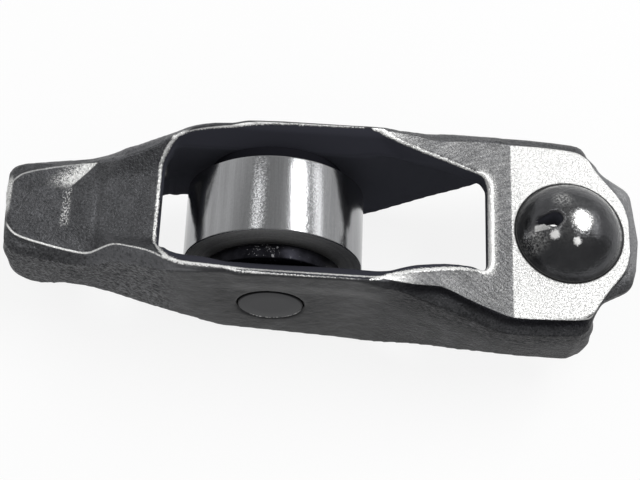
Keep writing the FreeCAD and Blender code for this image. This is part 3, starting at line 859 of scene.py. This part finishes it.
def wall_edges(x, y, z):
    """Bottom edge of the walls, the flanks beside the ramp and the boss round the axle."""
    places = np.arange(-26.8, 36.6, 0.4)
    low = np.array([z[(np.abs(x - place) < 0.3) & (np.abs(y) > 4)].min(initial=9.0) for place in places])
    low = np.interp(x, places, np.where(low > 8, -1.3, low))
    drop = np.interp(x, *np.array(BOTTOM_DROP).T) * ease(3.0, 4.2, np.abs(y))
    z = z - drop * ease(low + 3.6, low + 0.3, z)
    y = y + np.sign(y) * np.interp(x, *np.array(FLANK_SHIFT).T) * ease(7.6, 9.4, np.abs(y))
    z = z + TAIL_LIFT * ease(31.0, 32.2, x) * ease(-2.5, -4.5, y) * ease(2.4, -0.6, z)
    x = x + 0.45 * ease(29.5, 30.8, x) * ease(8.5, 9.5, np.abs(y)) * ease(0.6, -1.2, z)
    boss = ease(-5.0, -3.0, x) * ease(12.0, 10.0, x)
    y = y + np.sign(y) * 0.3 * boss * ease(7.3, 7.8, np.abs(y)) * ease(3.0, 6.0, z)
    return x, y, z


def window_walls(x, y, z, normals, under):
    """The punched walls of the window lean out below its edge."""
    left, right, front = under.T
    x = x + 0.33 * left * (np.abs(x + 11.2) < 1.6)
    x = x - 0.28 * right * (np.abs(x - 21.3) < 1.4)
    beyond = ease(-2.5, -7.5, x) + ease(9.0, 14.0, x) * ease(21.0, 19.0, x)
    y = y + 0.6 * front * beyond * ease(-4.0, -5.0, y)
    inner = ease(0.3, 0.7, -normals[:, 1]) * ease(4.6, 5.4, y) * ease(1.0, -1.0, z)
    return x, y - 0.45 * inner * ease(-11.2, -10.0, x) * ease(-7.0, -7.6, x)


def leaning_hole(x, y, z):
    """The oil hole leans towards the front as it goes down."""
    by_hole = ease(2.6, 1.7, np.hypot(x - OIL_HOLE_X, y)) * (z > 3.0)
    return y - HOLE_LEAN * np.clip(in_ball(x, y, z), 0, 2) * by_hole


def plate_corners(x, y, z, rim):
    """The bend turns in sooner at the plate's corners."""
    x = x - 0.6 * ease(30.0, 31.5, x) * ease(8.0, 9.3, np.abs(y)) * ease(0.8, 2.6, z)
    turn = np.degrees(np.arctan2(np.abs(y), x - DOME_X))
    pull = np.interp(turn, *np.array(CORNER_PULL).T)
    pull = pull * ease(0.0, 0.6, rim) * ease(-1.0, -3.0, y)
    across = np.maximum(np.hypot(x - DOME_X, y), 1.0)
    return x - pull * (x - DOME_X) / across, y - pull * y / across


def true_dome(x, y, z):
    """The dome is part of a true ball, with a groove round its foot."""
    from_dome = np.hypot(x - DOME_X, y)
    groove = np.exp(-(((from_dome - GROOVE_RADIUS) / 0.13) ** 2)) * ease(3.5, 3.8, z)
    z = z - GROOVE_DEPTH * groove
    middle = np.array((DOME_X, 0.0, DOME_BALL_Z))
    ball = np.stack([x, y, z], 1) - middle
    reach = np.linalg.norm(ball, axis=1)
    on_ball = (np.abs(reach - DOME_BALL) < 0.07) & (z > PLATE_TOP + 0.25)
    scale = np.where(on_ball, DOME_BALL / np.maximum(reach, 1e-9), 1.0)
    return ball * scale[:, None] + middle


def shaped(points, normals, under):
    """Small forms of the stamping that go over the plain solid, in millimetres."""
    x, y, z = points.T.copy()
    up = normals[:, 2]
    y = neck_flanks(x, y)
    z = nose_rise(x, y, z, up)
    rim = plan_distance(x, y, TOP_EDGE)
    z = coined_bend(x, z, up, rim)
    x, y = nose_end(x, y, z)
    x, y, z = wall_edges(x, y, z)
    x, y = window_walls(x, y, z, normals, under)
    y = leaning_hole(x, y, z)
    x, y = plate_corners(x, y, z, rim)
    low, high = (np.array(corner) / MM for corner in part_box("arm"))
    return np.clip(true_dome(x, y, z), low, high)


def vectors(items, field):
    """A vector of each point of a mesh."""
    values = np.zeros(len(items) * 3, np.float32)
    items.foreach_get(field, values)
    return values.reshape(-1, 3).astype(float)


def set_points(mesh, points):
    mesh.vertices.foreach_set("co", (points * MM).astype(np.float32).ravel())
    mesh.update()


def cells_mesh(solid, size):
    """A mesh of even cells over a solid."""
    holder = bpy.data.objects.new("arm_cells", solid)
    bpy.context.scene.collection.objects.link(holder)
    cells = holder.modifiers.new("cells", "REMESH")
    cells.mode = "VOXEL"
    cells.voxel_size = size
    cells.use_smooth_shade = True
    mesh = evaluated(holder)
    bpy.data.objects.remove(holder)
    return mesh


def inner_walls(points, normals, neighbours):
    """1 on the walls of the window, the channel and the oil hole, where the skin is painted dark as shade.
    """
    x, y, z = points.T
    width = np.abs(y)
    inward = -normals[:, 1] * np.sign(y)
    ends = np.where(x < 0, normals[:, 0], -normals[:, 0]) * (width < 6.0)
    inside = ease(0.15, 0.4, np.maximum(inward, ends * (np.abs(x - 5) < 17.5)))
    inside = inside * ease(0.0, 0.15, x - window_end(y)) * (x < 23) * (width > 0.5 * (np.abs(x) < 20))
    inside = np.maximum(inside, ease(-0.2, -0.5, normals[:, 2]) * (width < 7))
    inside = np.maximum(inside, ease(0.15, 0.4, inward) * ease(0.6, 0.0, z) * (width < 9.5))
    in_hole = (np.hypot(x - OIL_HOLE_X, y) < 2.2) * (z > 4.2)
    inside = np.maximum(inside, ease(0.08, 0.2, in_ball(x, y, z)) * in_hole)
    return neighbours.relaxed(inside, [0.5])


def arm_skin(settings):
    """Skin of the arm with rounded edges, and where each finish lies on it."""
    solid = merged_copy("arm")
    mesh = cells_mesh(solid, settings.voxel)
    points = vectors(mesh.vertices, "co") / MM
    neighbours = Neighbours(mesh)

    # Rounding, then smoothing that keeps the size, and more rounding at the nose's end
    points = neighbours.relaxed(points, [0.5] * settings.rounding + EVEN_SHARES)
    end = ease(-23.5, -25.5, points[:, 0]) * ease(2.4, 1.4, points[:, 2])
    points = neighbours.relaxed(points, [0.6 * end[:, None]] * NOSE_ROUNDS)
    lip = lip_distance(solid, points)
    set_points(mesh, points)
    normals = vectors(mesh.vertex_normals, "vector")
    points = shaped(points, normals, under_edge(points, normals, lip, neighbours))
    set_points(mesh, points)
    normals = vectors(mesh.vertex_normals, "vector")

    # How concave each point is, for the painted shade in creases
    bend = ((neighbours.mean(points) - points) * normals).sum(1)
    layers = {
        "rim": plan_distance(points[:, 0], points[:, 1], TOP_EDGE),
        "lip": lip,
        "inside": inner_walls(points, normals, neighbours),
        "hollow": ease(0.010, 0.034, neighbours.relaxed(bend, [0.5] * 2)),
        "up": normals[:, 2],
    }
    for name, values in layers.items():
        layer = mesh.attributes.new(name, "FLOAT", "POINT")
        layer.data.foreach_set("value", values.astype(np.float32))
    bpy.data.meshes.remove(solid)
    return mesh


def turned(name, profile, segments):
    """A round piece about the Y axis from its closed half section of (radius, Y), in millimetres."""
    work = bmesh.new()
    rings = []
    for step in range(segments):
        turn = 2 * math.pi * step / segments
        rings.append([
            work.verts.new(Vector((radius * math.sin(turn), y, radius * math.cos(turn))) * MM)
            for radius, y in profile
        ])
    for step in range(segments):
        here, there = rings[step], rings[(step + 1) % segments]
        for i in range(len(profile)):
            j = (i + 1) % len(profile)
            if profile[i][0] > 0 or profile[j][0] > 0:
                work.faces.new((here[i], here[j], there[j], there[i]))
    bmesh.ops.remove_doubles(work, verts=work.verts, dist=1e-8)
    bmesh.ops.dissolve_degenerate(work, edges=work.edges, dist=1e-8)
    bmesh.ops.recalc_face_normals(work, faces=work.faces)
    for face in work.faces:
        face.smooth = True
    for edge in work.edges:
        edge.smooth = edge.calc_face_angle(0) < SMOOTH_ANGLE
    mesh = bpy.data.meshes.new(name)
    work.to_mesh(mesh)
    work.free()
    return mesh


def corner(radius, y, size, start, steps=4):
    """Points of a quarter round of a half section, about its own centre."""
    return [
        (radius + size * math.cos(math.radians(start + 90 * i / steps)),
         y + size * math.sin(math.radians(start + 90 * i / steps)))
        for i in range(steps + 1)
    ]


def rounded_rim(radius, low, high, size):
    """The outer side of a half section between two faces, with both corners rounded."""
    return corner(radius - size, low + size, size, -90) + corner(radius - size, high - size, size, 0)


def needle_tree(material):
    """Geometry nodes: one rounded needle, repeated round the axle."""
    tree = bpy.data.node_groups.new("needle_row_nodes", "GeometryNodeTree")
    kinds = {"Count": "Int", "Row Radius": "Float", "Radius": "Float", "Length": "Float", "Edge": "Float"}
    inputs = {
        name: tree.interface.new_socket(name, in_out="INPUT", socket_type=f"NodeSocket{kind}")
        for name, kind in kinds.items()
    }
    tree.interface.new_socket("Geometry", in_out="OUTPUT", socket_type="NodeSocketGeometry")
    nodes = Shader(tree, "NodeGroupOutput")
    given = tree.nodes.new("NodeGroupInput").outputs
    count, row_radius, radius, length, edge = (Socket(nodes, given[name]) for name in kinds)

    # A straight line along Y whose radius is smaller at its two ends
    first, last = nodes.vector(0.0, length * -0.5, 0.0), nodes.vector(0.0, length * 0.5, 0.0)
    line = nodes.node("GeometryNodeCurvePrimitiveLine", Start=first, End=last)
    fine = nodes.node("GeometryNodeResampleCurve", Curve=line, Count=NEEDLE_STEPS)
    to_end = (0.5 - (nodes.node("GeometryNodeSplineParameter") - 0.5).absolute()) * length
    width = radius - (1.0 - to_end.maths("DIVIDE", edge).least(1.0)) * edge

    # The needle's round section, swept and set round the row
    ring = nodes.node("GeometryNodeCurvePrimitiveCircle", Resolution=NEEDLE_SIDES, Radius=1.0)
    sized = nodes.node("GeometryNodeSetCurveRadius", Curve=fine, Radius=width)
    rod = nodes.node(
        "GeometryNodeCurveToMesh", Curve=sized, Profile_Curve=ring, Fill_Caps=True, Scale=width
    )
    row = nodes.node("GeometryNodeCurvePrimitiveCircle", Resolution=count, Radius=row_radius)
    about_y = nodes.node("GeometryNodeTransform", Geometry=row, Rotation=(math.radians(90), 0, 0))
    many = nodes.node("GeometryNodeInstanceOnPoints", Points=about_y, Instance=rod)
    real = nodes.node("GeometryNodeRealizeInstances", Geometry=many)
    smooth = nodes.node("GeometryNodeSetShadeSmooth", Geometry=real)
    nodes.finish(nodes.node("GeometryNodeSetMaterial", Geometry=smooth, Material=material))
    return tree, {name: item.identifier for name, item in inputs.items()}


def aimed(place, right, up, back):
    """The matrix of something at a place, in metres, whose own axes point these ways."""
    return Matrix.Translation(place) @ Matrix((right, up, back)).transposed().to_4x4()


def lamp(name, turn, lean, spread, length, brightness):
    """A long soft box parallel to the roller: its turn and spread about the roller, in degrees,
    and the sine of its lean towards the back."""
    side = math.sqrt(1 - lean * lean)
    ahead = Vector((math.sin(math.radians(turn)) * side, lean, math.cos(math.radians(turn)) * side))
    along = (Vector((0, 1, 0)) - ahead * lean).normalized()
    data = bpy.data.lights.new(name, "AREA")
    data.shape = "RECTANGLE"
    data.size = 2 * LAMP_DISTANCE * math.tan(math.radians(spread))
    data.size_y = length
    data.energy = brightness * math.pi * data.size * data.size_y
    made = bpy.data.objects.new(name, data)
    made.matrix_world = aimed(ahead * LAMP_DISTANCE, along.cross(ahead), along, ahead)
    made.visible_camera = False
    bpy.context.scene.collection.objects.link(made)


# Operators


class ROCKER_OT_arm(bpy.types.Operator):
    """Make the skin of the stamped arm"""

    bl_idname = "rocker.arm"
    bl_label = "Stamped arm"

    def execute(self, context):
        settings = context.scene.rocker_arm
        finished(arm_skin(settings), "stamped_arm", "arm", ["arm"], arm_steel(settings))
        return {"FINISHED"}


class ROCKER_OT_axle(bpy.types.Operator):
    """Make the staked axle"""

    bl_idname = "rocker.axle"
    bl_label = "Roller axle"

    def execute(self, context):
        face = AXLE_RADIUS * 0.55
        profile = [(0, 0.02 - AXLE_SIDE), (face, 0.01 - AXLE_SIDE)]
        profile += rounded_rim(AXLE_RADIUS, -AXLE_SIDE, AXLE_SIDE, AXLE_ROUND)
        profile += [(face, AXLE_SIDE - 0.01), (0, AXLE_SIDE - 0.02)]
        mesh = turned("roller_axle_piece", profile, context.scene.rocker_roller.segments // 2)
        material = axle_steel(context.scene.rocker_arm)
        finished(mesh, "staked_axle", "arm", ["roller_axle"], material)
        return {"FINISHED"}


class ROCKER_OT_roller(bpy.types.Operator):
    """Make the ground roller ring"""

    bl_idname = "rocker.roller"
    bl_label = "Roller ring"

    def execute(self, context):
        settings = context.scene.rocker_roller
        side, chamfer = ROLLER_SIDE, BORE_CHAMFER
        profile = rounded_rim(ROLLER_RADIUS, -side, side, ROLLER_ROUND)
        profile += [(ROLLER_BORE + chamfer, side), (ROLLER_BORE, side - chamfer)]
        profile += [(ROLLER_BORE, chamfer - side), (ROLLER_BORE + chamfer, -side)]
        mesh = turned("roller_ring_piece", profile, settings.segments)
        finished(mesh, "ground_roller", "roller", ["roller_ring"], ground_steel(settings))
        return {"FINISHED"}


class ROCKER_OT_washers(bpy.types.Operator):
    """Make the two side washers"""

    bl_idname = "rocker.washers"
    bl_label = "Side washers"

    def execute(self, context):
        settings = context.scene.rocker_roller
        material = oiled_steel(settings)
        bore = AXLE_RADIUS + WASHER_PLAY
        for name, side in (("front", -1), ("back", 1)):
            low, high = sorted((WASHER_INSIDE * side, WASHER_OUTSIDE * side))
            profile = rounded_rim(WASHER_RADIUS, low, high, WASHER_ROUND) + [(bore, high), (bore, low)]
            mesh = turned(f"washer_{name}_piece", profile, settings.segments)
            finished(mesh, f"washer_{name}", "arm", [f"side_washer_{name}"], material)
        return {"FINISHED"}


class ROCKER_OT_needles(bpy.types.Operator):
    """Make the row of needles between axle and roller"""

    bl_idname = "rocker.needles"
    bl_label = "Needle row"

    def execute(self, context):
        settings = context.scene.rocker_roller
        material = needle_steel(settings)
        holder = bpy.data.objects.new("needle_holder", bpy.data.meshes.new("needle_holder"))
        context.scene.collection.objects.link(holder)
        tree, ids = needle_tree(material)
        live = holder.modifiers.new("needles", "NODES")
        live.node_group = tree
        low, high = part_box(NEEDLES[0])
        values = {
            "Count": len(NEEDLES), "Row Radius": (low.z + high.z) / 2, "Radius": settings.needle_radius,
            "Length": high.y - low.y, "Edge": NEEDLE_CHAMFER * MM,
        }
        for name, value in values.items():
            live[ids[name]] = value
        mesh = evaluated(holder)
        holder.modifiers.clear()
        bpy.data.objects.remove(holder)
        if not mesh.polygons:
            raise RuntimeError("the needle row is empty")
        finished(mesh, "needle_set", "needle_row", NEEDLES, material)
        return {"FINISHED"}


class ROCKER_OT_stage(bpy.types.Operator):
    """Make the floor, backdrop, lamps and camera"""

    bl_idname = "rocker.stage"
    bl_label = "Stage"

    def execute(self, context):
        settings = context.scene.rocker_stage
        self.floor(settings)
        self.world(settings)
        for name, (turn, lean, spread, length, share) in LAMPS.items():
            lamp(name, turn, lean, spread, length, settings.key * share)
        self.camera(context)
        return {"FINISHED"}

    def floor(self, settings):
        size, level = FLOOR_SIZE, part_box("roller_ring")[0].z - FLOOR_GAP
        corners = [(-size, -size, level), (size, -size, level), (size, size, level), (-size, size, level)]
        mesh = bpy.data.meshes.new("floor")
        mesh.from_pydata(corners, [], [(0, 1, 2, 3)])
        floor = bpy.data.objects.new("floor", mesh)
        bpy.context.scene.collection.objects.link(floor)
        look = new_shader("pale_floor")
        paper = look.grain(look.place()[3], 0.8) + 0.5
        tone = look.mix(paper, tint(settings.floor, 0.985), settings.floor)
        matt = look.node("ShaderNodeBsdfDiffuse", Color=tone, Roughness=0.5)
        white = look.node("ShaderNodeEmission", Color=(1, 1, 1), Strength=1.0)
        share = self.seen(look) * (1.0 - settings.shadow)
        mesh.materials.append(look.finish(look.layered(share, matt, white)))

    def seen(self, look):
        """1 for the rays that show the background: camera, glossy and transmission."""
        camera, glossy, transmission = (
            look.node("ShaderNodeLightPath", output=f"Is {kind} Ray")
            for kind in ("Camera", "Glossy", "Transmission")
        )
        return camera.most(glossy).most(transmission)

    def world(self, settings):
        """White for the camera, a room that is brighter behind for reflections, and soft light."""
        world = bpy.data.worlds.new("studio")
        world.use_nodes = True
        bpy.context.scene.world = world
        look = Shader(world.node_tree, "ShaderNodeOutputWorld")
        _, back, high = look.split(look.node("ShaderNodeTexCoord"))
        camera = look.node("ShaderNodeLightPath", output="Is Camera Ray")
        seen = self.seen(look)
        behind = back.step(-0.15, 0.25)
        room = behind * (ROOM_BEHIND - ROOM_FALL * high.step(0.35, 0.8)) + (1.0 - behind) * ROOM_AHEAD
        strength = camera.most(seen * room).most((1.0 - seen) * settings.ambient)
        look.finish(look.node("ShaderNodeBackground", Color=(1, 1, 1), Strength=strength))

    def camera(self, context):
        """Where the photograph was taken from."""
        right, down, ahead = (Vector(axis) for axis in CAMERA_AXES)
        data = bpy.data.cameras.new("photo_camera")
        data.sensor_fit = "HORIZONTAL"
        data.sensor_width = 36
        data.lens = CAMERA_LENS
        data.clip_start, data.clip_end = 0.001, 10
        made = bpy.data.objects.new("photo_camera", data)
        made.matrix_world = aimed(Vector(CAMERA_PLACE) * MM, right, -down, -ahead)
        context.scene.collection.objects.link(made)
        context.scene.camera = made


class ROCKER_PT_panel(bpy.types.Panel):
    """Pieces of the rocker arm"""

    bl_label = "Rocker Arm"
    bl_idname = "ROCKER_PT_panel"
    bl_space_type = "VIEW_3D"
    bl_region_type = "UI"
    bl_category = "Rocker Arm"

    def draw(self, context):
        for operator in MAKERS:
            self.layout.operator(operator.bl_idname)
        for group in GROUPS:
            settings = getattr(context.scene, group)
            for name in settings.__annotations__:
                self.layout.prop(settings, name)


GROUPS = {"rocker_arm": ArmSettings, "rocker_roller": RollerSettings, "rocker_stage": StageSettings}
MAKERS = (
    ROCKER_OT_arm, ROCKER_OT_axle, ROCKER_OT_roller, ROCKER_OT_washers, ROCKER_OT_needles, ROCKER_OT_stage,
)


def register():
    for made in (*GROUPS.values(), *MAKERS, ROCKER_PT_panel):
        bpy.utils.register_class(made)
    for name, group in GROUPS.items():
        setattr(bpy.types.Scene, name, bpy.props.PointerProperty(type=group))


def unregister():
    for name in GROUPS:
        delattr(bpy.types.Scene, name)
    for made in reversed((*GROUPS.values(), *MAKERS, ROCKER_PT_panel)):
        bpy.utils.unregister_class(made)


def main():
    register()
    for operator in MAKERS:
        group, name = operator.bl_idname.split(".")
        getattr(getattr(bpy.ops, group), name)()
    bpy.context.scene.view_settings.view_transform = "Standard"


if __name__ == "__main__":
    main()
